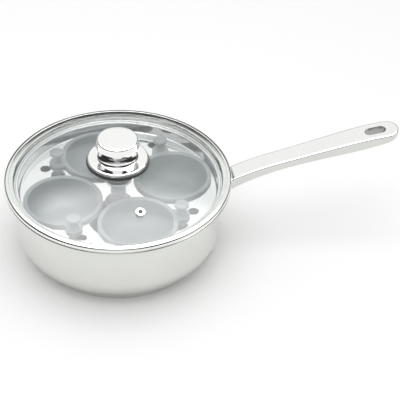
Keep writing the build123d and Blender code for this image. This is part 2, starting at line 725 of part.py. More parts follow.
# Gasket on the glass, its raised middle filling the flange
gasket_radius = knob_flange_radius + knob_gasket_lip
with BuildPart() as knob_gasket:
    with BuildSketch(Plane.XZ):
        with BuildLine():
            gasket_middle = gasket_radius / 2
            Polyline((gasket_radius, dome_height(gasket_radius)), (gasket_radius, flange_foot),
                     (knob_foot_radius, flange_foot),
                     (knob_foot_radius, flange_crown_top - knob_flange_sheet),
                     (knob_screw_hole, flange_crown_top - knob_flange_sheet),
                     (knob_screw_hole, dome_height(knob_screw_hole)))
            ThreePointArc((knob_screw_hole, dome_height(knob_screw_hole)),
                          (gasket_middle, dome_height(gasket_middle)),
                          (gasket_radius, dome_height(gasket_radius)))
        make_face()
    revolve(axis=Axis.Z)
save(knob_gasket, "knob_gasket")

# Knob body: a spun shell flaring up to its shoulder, with a groove under the cap
body_top = flange_crown_top + knob_body_height
groove_foot = body_top - knob_groove_height
neck_radius = knob_shoulder_radius - knob_groove_depth
hollow_radius = knob_waist_radius - knob_body_wall
with BuildPart() as knob_body:
    with BuildSketch(Plane.XZ):
        with BuildLine():
            waist_height = flange_crown_top + knob_waist_share * knob_body_height
            flank = Spline((knob_foot_radius, flange_crown_top), (knob_waist_radius, waist_height),
                           (knob_shoulder_radius, groove_foot), tangents=((-1, 1), (1, 1)))
            Polyline(flank @ 1, (neck_radius, groove_foot), (neck_radius, body_top),
                     (knob_insert_radius, body_top), (knob_insert_radius, body_top - knob_body_wall),
                     (hollow_radius, body_top - knob_body_wall), (hollow_radius, flange_crown_top),
                     (knob_foot_radius, flange_crown_top))
        make_face()
    revolve(axis=Axis.Z)
save(knob_body, "knob_body")

# Threaded column in the knob, which the screw pulls against the flange
with BuildPart() as knob_insert:
    with BuildSketch(Plane.XY.offset(flange_crown_top)):
        Circle(knob_insert_radius)
    extrude(amount=knob_body_height)
    with BuildSketch(Plane.XY.offset(flange_crown_top)):
        Circle(knob_screw_radius)
    extrude(amount=knob_screw_reach + knob_screw_radius, mode=Mode.SUBTRACT)
save(knob_insert, "knob_insert")

# Knob cap: a crowned disc pressed on the body
cap_top = body_top + knob_cap_height
with BuildPart() as knob_cap:
    with BuildSketch(Plane.XZ):
        with BuildLine():
            Polyline((0, cap_top + knob_cap_crown), (0, body_top), (knob_shoulder_radius, body_top),
                     (knob_cap_radius, body_top + knob_groove_height), (knob_cap_radius, cap_top))
            Spline((knob_cap_radius, cap_top), (0, cap_top + knob_cap_crown),
                   tangents=((-1, knob_cap_crown / knob_cap_radius), (-1, 0)))
        make_face()
    revolve(axis=Axis.Z)
    fillet(knob_cap.edges().filter_by(GeomType.CIRCLE).group_by(Axis.Z)[-1], radius=knob_cap_edge_radius)
save(knob_cap, "knob_cap")

# Below the glass: gasket, washer and screw
under_gasket_foot = dome_height(under_gasket_radius, under_dome_radius) - under_gasket_edge
with BuildPart() as knob_under_gasket:
    with BuildSketch(Plane.XZ):
        with BuildLine():
            under_middle = under_gasket_radius / 2
            Polyline((knob_screw_hole, dome_height(knob_screw_hole, under_dome_radius)),
                     (knob_screw_hole, under_gasket_foot), (under_gasket_radius, under_gasket_foot),
                     (under_gasket_radius, dome_height(under_gasket_radius, under_dome_radius)))
            ThreePointArc((under_gasket_radius, dome_height(under_gasket_radius, under_dome_radius)),
                          (under_middle, dome_height(under_middle, under_dome_radius)),
                          (knob_screw_hole, dome_height(knob_screw_hole, under_dome_radius)))
        make_face()
    revolve(axis=Axis.Z)
save(knob_under_gasket, "knob_under_gasket")
with BuildPart() as knob_washer:
    with BuildSketch(Plane.XY.offset(under_gasket_foot)):
        Circle(under_washer_radius)
        Circle(knob_screw_hole, mode=Mode.SUBTRACT)
    extrude(amount=-under_washer_thickness)
save(knob_washer, "knob_washer")
knob_washer_foot = under_gasket_foot - under_washer_thickness
write(pan_head_screw(Plane((0, 0, knob_washer_foot)), knob_screw_radius, knob_screw_head_radius,
                     knob_screw_head, flange_crown_top + knob_screw_reach - knob_washer_foot), "knob_screw")
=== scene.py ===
import json
from math import acos, asin, atan2, cos, degrees, hypot, pi, radians, sin, sqrt

import bmesh
import bpy
from mathutils import Matrix, Vector
from mathutils.geometry import delaunay_2d_cdt


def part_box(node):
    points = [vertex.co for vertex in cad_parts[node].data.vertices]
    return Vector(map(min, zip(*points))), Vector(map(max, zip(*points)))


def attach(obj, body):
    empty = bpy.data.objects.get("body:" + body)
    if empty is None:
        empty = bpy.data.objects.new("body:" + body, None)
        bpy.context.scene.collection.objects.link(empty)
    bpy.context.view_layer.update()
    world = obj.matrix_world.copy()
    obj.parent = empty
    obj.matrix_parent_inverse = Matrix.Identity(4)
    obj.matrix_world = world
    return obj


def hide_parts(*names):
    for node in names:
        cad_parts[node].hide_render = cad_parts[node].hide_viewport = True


# Egg poacher pan: the finish of every surface, and the turned, pressed and moulded forms at full
# smoothness. Metres and degrees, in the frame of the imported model: Z up, the handle along +X.

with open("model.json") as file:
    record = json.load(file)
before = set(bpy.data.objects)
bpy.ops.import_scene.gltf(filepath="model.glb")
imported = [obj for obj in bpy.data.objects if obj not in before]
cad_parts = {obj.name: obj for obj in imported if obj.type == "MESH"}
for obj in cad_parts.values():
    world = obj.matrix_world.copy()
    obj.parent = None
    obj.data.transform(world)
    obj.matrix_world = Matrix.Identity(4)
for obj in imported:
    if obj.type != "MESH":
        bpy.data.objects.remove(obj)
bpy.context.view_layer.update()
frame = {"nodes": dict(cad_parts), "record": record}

# Pan shell and base
pan_height = 0.0733
wall_radius = 0.0974
wall_draft = 0.0012
pan_sheet = 0.0007
corner_radius = 0.0233
flare_radius = 0.005
lip_bead_radius = 0.0015
base_thickness = 0.0042
cap_sheet = 0.0006
cap_edge_radius = 0.001
handle_top_slope = 0.6      # a face whose normal rises by more than this is on the handle's top, and gets the lighter steel of the painted highlight

# Tray
tray_depth = 0.00993
tray_sheet = 0.0006
tray_bead_radius = 0.0012
tray_rim_width = 0.00322
tray_draft = 0.0008
tray_bend_radius = 0.0012
cup_first_angle = 13.0
cup_count = 4
cup_hole_clearance = 0.0007
collar_depth = 0.003
steam_hole_radius = 0.00475
steam_hole_inset = 0.01595
steam_first_angle = 58.1

# Cups and their knobs
cup_edge_gap = 0.00205
cup_spacing = 0.0028
cup_flange_width = 0.0042
cup_depth = 0.024
cup_corner_radius = 0.0173
cup_sheet = 0.001
cup_flange_height = 0.003
cup_lip_radius = 0.0009
ear_reach = 0.0048
ear_angle = 86.0
ear_radius = 0.0076
ear_fillet = 0.0025
ear_edge_radius = 0.00035
ear_skirt_lift = 0.0003
cup_knob_sizes = {"radius": 0.0068, "height": 0.012, "button": 0.0042, "neck": 0.0032,
                  "foot": 0.0046}
tray_knob_sizes = {"radius": 0.013, "height": 0.016, "button": 0.0046, "neck": 0.0064,
                   "foot": 0.0074}
neck_span = (0.2, 0.75)     # shares of the neck's height between which it is narrowest
button_side_end = 40.0
button_crown_leave = (0.9, 0.12)
button_crown_arrive = 0.5

# Lid
seat_gap = 0.0003
lip_reach = 0.0083
band_inset = 0.0001
band_height = 0.0062
band_step = 0.0016
band_step_gap = 0.0002
band_sheet = 0.0005
band_cover = 0.0044
band_shelf = 0.0087
band_skirt = 0.0018
band_roll_radius = 0.0024
band_crown_radius = 0.0095
band_crown_turn = 20.0
seal_reach = 0.0003
glass_thickness = 0.004
glass_rise = 0.0191
glass_rim_width = 0.0036
glass_rim_lift = 0.0009
glass_knee_radius = 0.009
glass_edge_round = 0.001
vent_inset = 0.0296
vent_angle = -79.2
vent_bore_radius = 0.0019
vent_wall = 0.0012
vent_flange_radius = 0.0049
vent_flange_height = 0.0013
vent_flange_fullness = 0.75
vent_mouth_fullness = 0.8
vent_curl_radius = 0.0043
vent_clearance = 0.0002

# Lid knob. A pull is the pair of shares, outward and up, that sets how full a curve is
knob_flange_lift = 0.0034
knob_flange_radius = 0.0282
knob_flange_edge = 0.0031
knob_flange_crown = 0.0005
knob_flange_sheet = 0.001
knob_flange_roll = 0.0015
knob_gasket_lip = 0.001
knob_foot_radius = 0.0188
knob_foot_pull = (0.2, 0.4)
knob_waist_radius = 0.0168
knob_waist_share = 0.5
knob_shoulder_radius = 0.0175
knob_shoulder_pull = (0.4, 0.8)
knob_body_height = 0.0132
knob_body_wall = 0.0012
knob_groove_depth = 0.0007
knob_groove_height = 0.0007
knob_cap_radius = 0.0203
knob_cap_top_radius = 0.0191
knob_cap_height = 0.0073
knob_cap_crown = 0.0008
knob_cap_pulls = ((0.6, 0.7), (0.3, 1.0))
knob_cap_edge_radius = 0.0017
knob_screw_hole = 0.00265
under_gasket_radius = 0.024
under_gasket_lip = 0.00025

# Sizes that follow
flare_start = pan_height - flare_radius
inner_wall_radius = wall_radius - pan_sheet
flare_centre = (inner_wall_radius + flare_radius, flare_start)
foot_radius = wall_radius - wall_draft
bottom_flat_radius = foot_radius - corner_radius
corner_centre = (bottom_flat_radius, base_thickness + corner_radius)
lip_radius = wall_radius + lip_reach
lip_bead_centre = (lip_radius - lip_bead_radius, pan_height)
base_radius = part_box("base_cap")[1].x
core_radius = base_radius - cap_sheet
tray_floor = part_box("tray_knob")[0].z
tray_underside = tray_floor - tray_sheet
tray_bead_height = tray_floor + tray_depth - tray_bead_radius
bead_reach = flare_radius + tray_bead_radius + seat_gap
bead_inset = sqrt(bead_reach ** 2 - (tray_bead_height - flare_start) ** 2)
tray_bead_centre = (flare_centre[0] - bead_inset, tray_bead_height)
tray_recess_radius = tray_bead_centre[0] - tray_rim_width
steam_pitch_radius = tray_recess_radius - steam_hole_inset
steam_hole_edge = tray_sheet / 3
cup_turn_share = sin(pi / cup_count)
cup_room = tray_recess_radius - cup_edge_gap
cup_flange_radius = (2 * cup_turn_share * cup_room - cup_spacing) / (2 + 2 * cup_turn_share)
cup_pitch_radius = cup_room - cup_flange_radius
cup_bowl_radius = cup_flange_radius - cup_flange_width
cup_floor_radius = cup_bowl_radius - cup_corner_radius
cup_outer_radius = cup_bowl_radius + cup_sheet
cup_hole_radius = cup_outer_radius + cup_hole_clearance
cup_flange_top = tray_floor + cup_flange_height
ear_distance = cup_flange_radius + ear_reach
cup_places = [cup_first_angle + 360 / cup_count * turn for turn in range(cup_count)]
steam_places = [steam_first_angle + 360 / cup_count * turn for turn in range(cup_count)]
band_radius = lip_radius - band_inset
lid_seat = pan_height + seat_gap
band_top = lid_seat + band_height
step_height = lid_seat + band_step
step_radius = lip_radius - lip_bead_radius * 2 - band_step_gap
glass_edge_radius = step_radius - band_sheet - seal_reach / 2
glass_rim_bottom = lid_seat + glass_rim_lift
glass_rim_top = glass_rim_bottom + glass_thickness
dome_edge_radius = glass_edge_radius - glass_rim_width
glass_apex = glass_rim_top + glass_rise
dome_radius = (dome_edge_radius ** 2 + glass_rise ** 2) / (2 * glass_rise)
dome_centre_height = glass_apex - dome_radius
under_dome_radius = dome_radius - glass_thickness
vent_distance = dome_edge_radius - vent_inset
vent_barrel_radius = vent_bore_radius + vent_wall
knob_flange_top = glass_apex + knob_flange_lift
knob_flange_foot = knob_flange_top - knob_flange_edge
knob_crown_top = knob_flange_top + knob_flange_crown
knob_body_top = knob_crown_top + knob_body_height

# How finely the forms are divided
turns = 256
cup_turns = 192
small_turns = 96
mouth_steps = 5
edge_steps = 6
arc_steps = 8
fillet_steps = 10
curve_steps = 12
flank_steps = 14
fine_steps = 16
corner_steps = 24
tray_bead_steps = 28
bead_steps = 32
dome_steps = 48
cup_flange_steps = 180
ear_blend_steps = 9         # steps of the outline over which the ear's skirt comes down
sharp_angle = 32.0          # faces that meet at more than this have an edge between them
same_place = 1e-7
support = 0.00015           # a flat stays flat up to this distance from a bend
supported_run = support * 4 # a straight run up to this long has no points added
inside_only = 1             # the kind of filling that keeps to the inside of its outlines

# Finishes. A noise's values lie mostly between its low and its high
noise_low = 0.3
noise_high = 0.7
streak_share = 0.04         # how much slower the handle's polish changes along it than across
steel_finish = {"tones": (0.965, 1.0), "tone_scale": 28, "tone_detail": 2,
                "rough_scale": 900, "metallic": 1.0, "specular": 0.5,
                "grain_scale": 1400, "grain_depth": 0.000002, "grain_strength": 0.5}
coating_finish = {"tones": (0.95, 1.05), "tone_scale": 2600, "tone_detail": 3,
                  "rough_scale": 160, "metallic": 0.0, "specular": 0.6,
                  "grain_scale": 1300, "grain_depth": 0.000003, "grain_strength": 0.1}
plastic_finish = {"tones": (0.96, 1.03), "tone_scale": 300, "tone_detail": 2,
                  "rough_scale": 900, "metallic": 0.0, "specular": 0.5,
                  "grain_scale": 2200, "grain_depth": 0.000006, "grain_strength": 0.4}
rubber_finish = {"tones": (1.0, 1.5), "tone_scale": 400, "tone_detail": 2,
                 "rough_scale": 1200, "metallic": 0.0, "specular": 0.5,
                 "grain_scale": 1800, "grain_depth": 0.000012, "grain_strength": 0.5}
glass_colour = (0.97, 0.985, 0.98, 1)
glass_shadow_colour = (0.93, 0.95, 0.945, 1)
glass_film_colour = (0.9, 0.91, 0.92, 1)
glass_haze = 0.035
glass_index = 1.5
glass_rough_scale = 60
glass_roughs = (0.0, 0.012)

# Floor and lamp
floor_reach = 6.0
floor_colour = (0.97, 0.97, 0.97, 1)
floor_roughness = 0.9
softbox_power = 5.2
softbox_sides = (1.1, 1.0)
softbox_place = (-0.05, -0.1, 1.2)

# The room that polished surfaces mirror. Bearings count from its front, and a pair of angles is
# where a change starts and ends
room_light = 0.79
dark_edge_light = 0.03
dark_edge_front_height = 33
dark_edge_side_height = 50
dark_edge_back_height = 24
dark_edge_softness = 4
dark_edge_side = (20, 40)
dark_edge_back = (80, 140)
front_gap_light = 0.35
front_gap_side = (7, 20)
panel_light = 6.5
panel_near = (62, 84)
panel_far = (118, 134)
panel_left = (-36, -22)
panel_right = (44, 58)
under_lid_limit = 1.25
under_lid_light = 1.15
under_lid_share = 0.75
under_one = 0.5             # a ray's count of bounces above this is one or more

# Camera, fitted to the photo's ellipses
camera_elevation = 38.816
camera_turn = 9.2
camera_roll = 1.179
camera_distance = 1.5
camera_lens = 145.53
camera_sensor = 36.0
camera_near_clip = 0.05
axis_right_of_view = -0.07644
axis_above_view = 0.02166

slots = {part["node"]: part["material_slot"] for part in frame["record"]["subparts"]}


def arc(centre, radius, start, end, steps=arc_steps):
    """Points of an arc in a section. Angles are from outward, counter-clockwise."""
    angles = [radians(start + (end - start) * k / steps) for k in range(steps + 1)]
    return [(centre[0] + radius * cos(angle), centre[1] + radius * sin(angle)) for angle in angles]


def bend(start, leave, arrive, end, steps=curve_steps):
    """Points of a curve that leaves start towards one point and arrives at end from another."""
    points = []
    for k in range(steps + 1):
        t = k / steps
        weights = ((1 - t) ** 3, 3 * t * (1 - t) ** 2, 3 * t * t * (1 - t), t ** 3)
        points.append(tuple(sum(w * p[axis] for w, p in zip(weights, (start, leave, arrive, end)))
                            for axis in (0, 1)))
    return points


def circle_points(radius, steps, centre=(0, 0)):
    angles = [2 * pi * k / steps for k in range(steps)]
    return [(centre[0] + radius * cos(angle), centre[1] + radius * sin(angle)) for angle in angles]


def at(radius, angle):
    """The place at a radius from the axis and an angle from the handle."""
    return (radius * cos(radians(angle)), radius * sin(radians(angle)))


def supported(section, closed=True):
    """The section with a point close to both ends of each straight run, so that smooth shading
    doesn't spread a bend over the flat beside it."""
    points = []
    count = len(section)
    for k, here in enumerate(section):
        points.append(here)
        if k == count - 1 and not closed:
            break
        there = section[(k + 1) % count]
        run = hypot(there[0] - here[0], there[1] - here[1])
        if run > supported_run:
            for share in (support / run, 1 - support / run):
                points.append((here[0] + (there[0] - here[0]) * share,
                               here[1] + (there[1] - here[1]) * share))
    return points


def clean(section):
    """The section without points that lie on the one before."""
    kept = []
    for point in section:
        if not kept or hypot(point[0] - kept[-1][0], point[1] - kept[-1][1]) > same_place:
            kept.append(point)
    return kept


def ring_of(bm, radius, height, steps, place):
    """Vertices round the axis, or a single one on it."""
    points = [(0, 0)] if radius < same_place else circle_points(radius, steps)
    return [bm.verts.new(place @ Vector((*point, height))) for point in points]


def bridge(bm, lower, upper):
    """Faces between two rings, either of which may be a single point."""
    count = max(len(lower), len(upper))
    for k in range(count):
        after = (k + 1) % count
        corners = []
        for vert in (lower[k % len(lower)], lower[after % len(lower)],
                     upper[after % len(upper)], upper[k % len(upper)]):
            if vert not in corners:
                corners.append(vert)
        if len(corners) > 2:
            bm.faces.new(corners)


def turn_section(bm, section, steps, closed=True, place=Matrix()):
    """The surface that a section of (radius, height) points makes when it turns round the axis."""
    rings = [ring_of(bm, radius, height, steps, place)
             for radius, height in supported(clean(section), closed)]
    for lower, upper in zip(rings, rings[1:]):
        bridge(bm, lower, upper)
    if closed:
        bridge(bm, rings[-1], rings[0])


def flat_fill(bm, loops, height, inside):
    """Faces at one height between closed loops of (x, y) points, kept where inside says so."""
    points = []
    edges = []
    for loop in loops:
        first = len(points)
        points.extend(Vector(point) for point in loop)
        edges.extend((first + k, first + (k + 1) % len(loop)) for k in range(len(loop)))
    flat, _, faces, _, _, _ = delaunay_2d_cdt(points, edges, [], inside_only, same_place)
    verts = [bm.verts.new((point.x, point.y, height)) for point in flat]
    for face in faces:
        middle = sum((flat[k] for k in face), Vector((0, 0))) / len(face)
        if inside(middle):
            bm.faces.new([verts[k] for k in face])


def finish_mesh(bm, name):
    bmesh.ops.remove_doubles(bm, verts=bm.verts, dist=same_place)
    bmesh.ops.recalc_face_normals(bm, faces=bm.faces)
    mesh = bpy.data.meshes.new(name)
    bm.to_mesh(mesh)
    bm.free()
    mesh.shade_smooth()
    mesh.set_sharp_from_angle(angle=radians(sharp_angle))
    return mesh


def add_piece(name, mesh, body, nodes, place=Matrix()):
    """A piece that stands for CAD nodes, takes the first one's slot and rides on its body."""
    piece = bpy.data.objects.new(name, mesh)
    bpy.context.scene.collection.objects.link(piece)
    piece.matrix_world = place
    slot = slots[nodes[0]]
    if not mesh.materials:
        mesh.materials.append(materials[slot])
    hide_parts(*nodes)
    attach(piece, body)
    return piece


def turned_mesh(name, section, steps=turns, place=Matrix()):
    bm = bmesh.new()
    turn_section(bm, section, steps, place=place)
    return finish_mesh(bm, name)


def turned_piece(name, section, body, node, steps=turns, place=Matrix()):
    return add_piece(name, turned_mesh(name, section, steps), body, [node], place)


# Materials

def add_node(tree, kind, inputs, **settings):
    """A new node with its settings made, and its inputs linked or given plain values."""
    node = tree.nodes.new(kind)
    for setting, value in settings.items():
        setattr(node, setting, value)
    for key, value in inputs.items():
        if isinstance(value, bpy.types.NodeSocket):
            tree.links.new(value, node.inputs[key])
        else:
            node.inputs[key].default_value = value
    return node


def calculate(tree, operation, *values):
    """A math node over links or plain numbers."""
    return add_node(tree, "ShaderNodeMath", dict(enumerate(values)), operation=operation).outputs[0]


def blend(tree, share, first, second):
    """The first value where share is 0, and the second where it is 1."""
    return add_node(tree, "ShaderNodeMix",
                    {"Factor": share, "A": first, "B": second}).outputs["Result"]


def new_nodes(name):
    material = bpy.data.materials.new(name)
    material.use_nodes = True
    tree = material.node_tree
    return material, tree, tree.nodes["Principled BSDF"]


def noise(tree, vector, scale, detail=2.0):
    return add_node(tree, "ShaderNodeTexNoise",
                    {"Vector": vector, "Scale": scale, "Detail": detail}).outputs["Fac"]


def object_place(tree):
    return tree.nodes.new("ShaderNodeTexCoord").outputs["Object"]


def spun_place(tree):
    """Distance from the axis, and height: what varies over it makes fine rings, as polishing
    does."""
    split = add_node(tree, "ShaderNodeSeparateXYZ", {0: object_place(tree)}).outputs
    flat = add_node(tree, "ShaderNodeCombineXYZ", {"X": split["X"], "Y": split["Y"]})
    length = add_node(tree, "ShaderNodeVectorMath", {0: flat.outputs[0]}, operation="LENGTH")
    return add_node(tree, "ShaderNodeCombineXYZ",
                    {"X": length.outputs["Value"], "Z": split["Z"]}).outputs[0]


def long_place(tree):
    """Object coordinates drawn out along X: what varies over it makes streaks along the handle."""
    return add_node(tree, "ShaderNodeMapping",
                    {"Vector": object_place(tree), "Scale": (streak_share, 1, 1)}).outputs[0]


def between(tree, factor, low, high):
    """A noise as a value that goes from low to high."""
    return add_node(tree, "ShaderNodeMapRange",
                    {"Value": factor, "From Min": noise_low, "From Max": noise_high,
                     "To Min": low, "To Max": high}).outputs["Result"]


def two_tones(tree, factor, first, second):
    """A noise as a colour that goes from first to second."""
    ramp = add_node(tree, "ShaderNodeValToRGB", {"Fac": factor})
    for stop, position, colour in zip(ramp.color_ramp.elements, (noise_low, noise_high),
                                      (first, second)):
        stop.position = position
        stop.color = (*colour, 1)
    return ramp.outputs["Color"]


def finished(name, colour, roughs, finish, place=object_place):
    """An opaque material: a slight change of tone, and a roughness and a fine grain that vary
    over place."""
    material, tree, shader = new_nodes(name)
    darker, lighter = [tuple(channel * share for channel in colour) for share in finish["tones"]]
    speckle = noise(tree, object_place(tree), finish["tone_scale"], finish["tone_detail"])
    where = place(tree)
    rough = noise(tree, where, finish["rough_scale"])
    grain = add_node(tree, "ShaderNodeBump",
                     {"Height": noise(tree, where, finish["grain_scale"]),
                      "Distance": finish["grain_depth"], "Strength": finish["grain_strength"]})
    tree.links.new(two_tones(tree, speckle, darker, lighter), shader.inputs["Base Color"])
    tree.links.new(between(tree, rough, *roughs), shader.inputs["Roughness"])
    tree.links.new(grain.outputs["Normal"], shader.inputs["Normal"])
    shader.inputs["Metallic"].default_value = finish["metallic"]
    shader.inputs["Specular IOR Level"].default_value = finish["specular"]
    return material


def clear_glass(name):
    """Tempered glass with a trace of haze. Light from the lamps and the room passes it straight,
    without caustics."""
    material, tree, shader = new_nodes(name)
    shader.inputs["Base Color"].default_value = glass_colour
    shader.inputs["Transmission Weight"].default_value = 1.0
    shader.inputs["IOR"].default_value = glass_index
    rough = noise(tree, object_place(tree), glass_rough_scale)
    tree.links.new(between(tree, rough, *glass_roughs), shader.inputs["Roughness"])
    path = tree.nodes.new("ShaderNodeLightPath").outputs
    straight = calculate(tree, "MAXIMUM", path["Is Shadow Ray"], path["Is Diffuse Ray"])
    film = add_node(tree, "ShaderNodeBsdfDiffuse", {"Color": glass_film_colour})
    through = add_node(tree, "ShaderNodeBsdfTransparent", {"Color": glass_shadow_colour})
    hazy = add_node(tree, "ShaderNodeMixShader",
                    {"Fac": glass_haze, 1: shader.outputs[0], 2: film.outputs[0]})
    mix = add_node(tree, "ShaderNodeMixShader",
                   {"Fac": straight, 1: hazy.outputs[0], 2: through.outputs[0]})
    tree.links.new(mix.outputs[0], tree.nodes["Material Output"].inputs["Surface"])
    return material


materials = {
    "polished_steel": finished("polished_steel", (0.745, 0.755, 0.72), (0.07, 0.12),
                               steel_finish, spun_place),
    "tray_steel": finished("tray_steel", (0.86, 0.865, 0.865), (0.03, 0.06),
                           steel_finish, spun_place),
    "knob_steel": finished("knob_steel", (0.93, 0.932, 0.92), (0.05, 0.09),
                           steel_finish, spun_place),
    "fastener_steel": finished("fastener_steel", (0.7, 0.7, 0.7), (0.2, 0.3),
                               steel_finish, spun_place),
    "base_aluminium": finished("base_aluminium", (0.75, 0.75, 0.77), (0.3, 0.4),
                               steel_finish, spun_place),
    "cup_coating": finished("cup_coating", (0.35, 0.375, 0.385), (0.3, 0.38), coating_finish),
    "grey_plastic": finished("grey_plastic", (0.38, 0.40, 0.41), (0.3, 0.4), plastic_finish),
    "lid_glass": clear_glass("lid_glass"),
    "black_rubber": finished("black_rubber", (0.02, 0.02, 0.02), (0.38, 0.52), rubber_finish),
}
# Painted light and shade: the handle's upward faces get a lighter steel and its other faces a
# darker copy of it
handle_top_lit_steel = finished("handle_top_lit_steel", (0.88, 0.89, 0.87), (0.06, 0.11), steel_finish, long_place)
handle_side_shaded_steel = finished("handle_side_shaded_steel", (0.69, 0.70, 0.665), (0.08, 0.14), steel_finish, long_place)
# Painted shade: the hang hole liner's steel is darkened to stand for the shade inside the hole
hole_liner_shaded_steel = finished("hole_liner_shaded_steel", (0.40, 0.405, 0.39), (0.15, 0.25), steel_finish, long_place)
band_steel = finished("band_steel", (0.84, 0.85, 0.825), (0.07, 0.12), steel_finish, spun_place)


def finish_frame_nodes():
    """The nodes that stay get their slot's finish. The handle's upward faces get a lighter steel, a
    painted highlight, and its other faces a darker steel, painted shade; the top is also a little
    smoother than the sides."""
    for name, node in frame["nodes"].items():
        held = name.startswith(("handle", "hang"))
        node.data.materials.clear()
        node.data.materials.append(handle_top_lit_steel if held else materials[slots[name]])
        if held:
            node.data.materials.append(hole_liner_shaded_steel if name == "hang_hole_liner" else handle_side_shaded_steel)
            # Upward faces get the lighter steel (painted highlight), the rest the darker steel
            # (painted shade)
            for face in node.data.polygons:
                face.material_index = int(face.normal.z < handle_top_slope)


# Pan

def corner_height(radius):
    """Height of the pan's outer bottom corner at a radius from the axis."""
    return corner_centre[1] - sqrt(corner_radius ** 2 - (radius - bottom_flat_radius) ** 2)


def make_pan():
    floor = base_thickness + pan_sheet
    curl_end = degrees(asin(pan_sheet / lip_bead_radius))
    shell = [(0, floor), (bottom_flat_radius, floor),
             *arc(corner_centre, corner_radius - pan_sheet, -90, 0, corner_steps),
             *arc(flare_centre, flare_radius, 180, 90, fine_steps),
             *arc(lip_bead_centre, lip_bead_radius, 180, curl_end - 180, bead_steps),
             *arc(flare_centre, flare_radius - pan_sheet, 90, 180, fine_steps),
             *arc(corner_centre, corner_radius, 0, -90, corner_steps), (0, base_thickness)]
    turned_piece("pan_body", shell, "pan", "pan_shell")
    rim = corner_height(base_radius)
    inner_rim = corner_height(core_radius)
    cap = [(0, 0), *arc((base_radius - cap_edge_radius, cap_edge_radius), cap_edge_radius, -90, 0),
           (base_radius, rim - cap_sheet / 2), (base_radius - cap_sheet / 4, rim),
           (core_radius, inner_rim), (core_radius, cap_sheet), (0, cap_sheet)]
    turned_piece("base_disc_cap", cap, "pan", "base_cap")


# Tray

def mouth(bm, centre, radius, edge, depth, outside):
    """A hole's rounded mouth and wall, from the flat on top to the flat below."""
    section = [(radius + edge + support, tray_floor),
               *arc((radius + edge, tray_floor - edge), edge, 90, 180, mouth_steps),
               (radius, tray_underside - depth)]
    if depth:
        section += [(outside, tray_underside - depth), (outside, tray_underside)]
    section.append((outside + support, tray_underside))
    turn_section(bm, section, small_turns, closed=False, place=Matrix.Translation((*centre, 0)))


def make_tray():
    bm = bmesh.new()
    rim_top = tray_bead_height + tray_sheet / 2
    slope = atan2(rim_top - tray_floor, tray_draft)
    reach = tray_bend_radius / sin(slope) * (1 - cos(slope))
    turn = degrees(slope)
    foot_centre = (tray_recess_radius - tray_draft - reach, tray_floor + tray_bend_radius)
    top_centre = (tray_recess_radius + reach, rim_top - tray_bend_radius)
    seam = degrees(asin(tray_sheet / 2 / tray_bead_radius))
    floor_edge = foot_centre[0] - support
    section = [(floor_edge, tray_floor),
               *arc(foot_centre, tray_bend_radius, -90, turn - 90),
               *arc(top_centre, tray_bend_radius, turn + 90, 90),
               *arc(tray_bead_centre, tray_bead_radius, 180 - seam, seam - 180, tray_bead_steps),
               *arc(top_centre, tray_bend_radius - tray_sheet, 90, turn + 90, edge_steps),
               *arc(foot_centre, tray_bend_radius + tray_sheet, turn - 90, -90),
               (floor_edge, tray_underside)]
    turn_section(bm, section, turns, closed=False)
    holes = [(at(cup_pitch_radius, angle), cup_hole_radius, tray_sheet, collar_depth,
              cup_hole_radius + tray_sheet) for angle in cup_places]
    holes += [(at(steam_pitch_radius, angle), steam_hole_radius, steam_hole_edge, 0,
               steam_hole_radius) for angle in steam_places]
    tops = [circle_points(floor_edge, turns)]
    undersides = [circle_points(floor_edge, turns)]
    for centre, radius, edge, depth, outside in holes:
        mouth(bm, centre, radius, edge, depth, outside)
        tops.append(circle_points(radius + edge + support, small_turns, centre))
        undersides.append(circle_points(outside + support, small_turns, centre))

    def beside_holes(margin):
        return lambda point: all(hypot(point.x - centre[0], point.y - centre[1]) > radius + margin
                                 for centre, radius, *_ in holes)
    flat_fill(bm, tops, tray_floor, beside_holes(support))
    flat_fill(bm, undersides, tray_underside, beside_holes(0))
    add_piece("tray", finish_mesh(bm, "tray"), "tray", ["tray_plate"])


def knob_section(radius, height, button, neck, foot):
    """A turned knob: foot, drawn-in neck and rounded button."""
    under = height - button
    edge = button / 2
    flank = bend((foot, 0), (neck, under * neck_span[0]), (neck, under * neck_span[1]),
                 (radius - edge, under), flank_steps)
    side = arc((radius - edge, under + edge), edge, -90, button_side_end, curve_steps)
    out, up = button_crown_leave
    crown = bend(side[-1], (radius - edge * out, height - edge * up),
                 (radius * button_crown_arrive, height), (0, height))
    return [(0, 0), *flank, *side, *crown]


def make_tray_knob():
    mesh = turned_mesh("lifting_knob", knob_section(**tray_knob_sizes), small_turns)
    add_piece("lifting_knob", mesh, "tray", ["tray_knob"], Matrix.Translation((0, 0, tray_floor)))


# Cups

def cup_outline(offset):
    """The flange and its ear seen from above, moved out by offset, and the count of the ear's
    points. The ear points along its angle."""
    centre_along = sqrt((cup_flange_radius + ear_fillet) ** 2 - (ear_radius + ear_fillet) ** 2)
    fillet_centre = (centre_along, ear_radius + ear_fillet)
    lean = degrees(atan2(fillet_centre[1], fillet_centre[0]))
    ear = arc((ear_distance, 0), ear_radius + offset, -90, 90, bead_steps)
    first = arc(fillet_centre, ear_fillet - offset, -90, lean - 180, fillet_steps)
    flange = arc((0, 0), cup_flange_radius + offset, lean, 360 - lean, cup_flange_steps)
    last = [(x, -y) for x, y in reversed(first)]
    turned = Matrix.Rotation(radians(ear_angle), 2)
    points = [tuple(turned @ Vector(point)) for point in clean(ear + first + flange + last)]
    return points, len(ear)


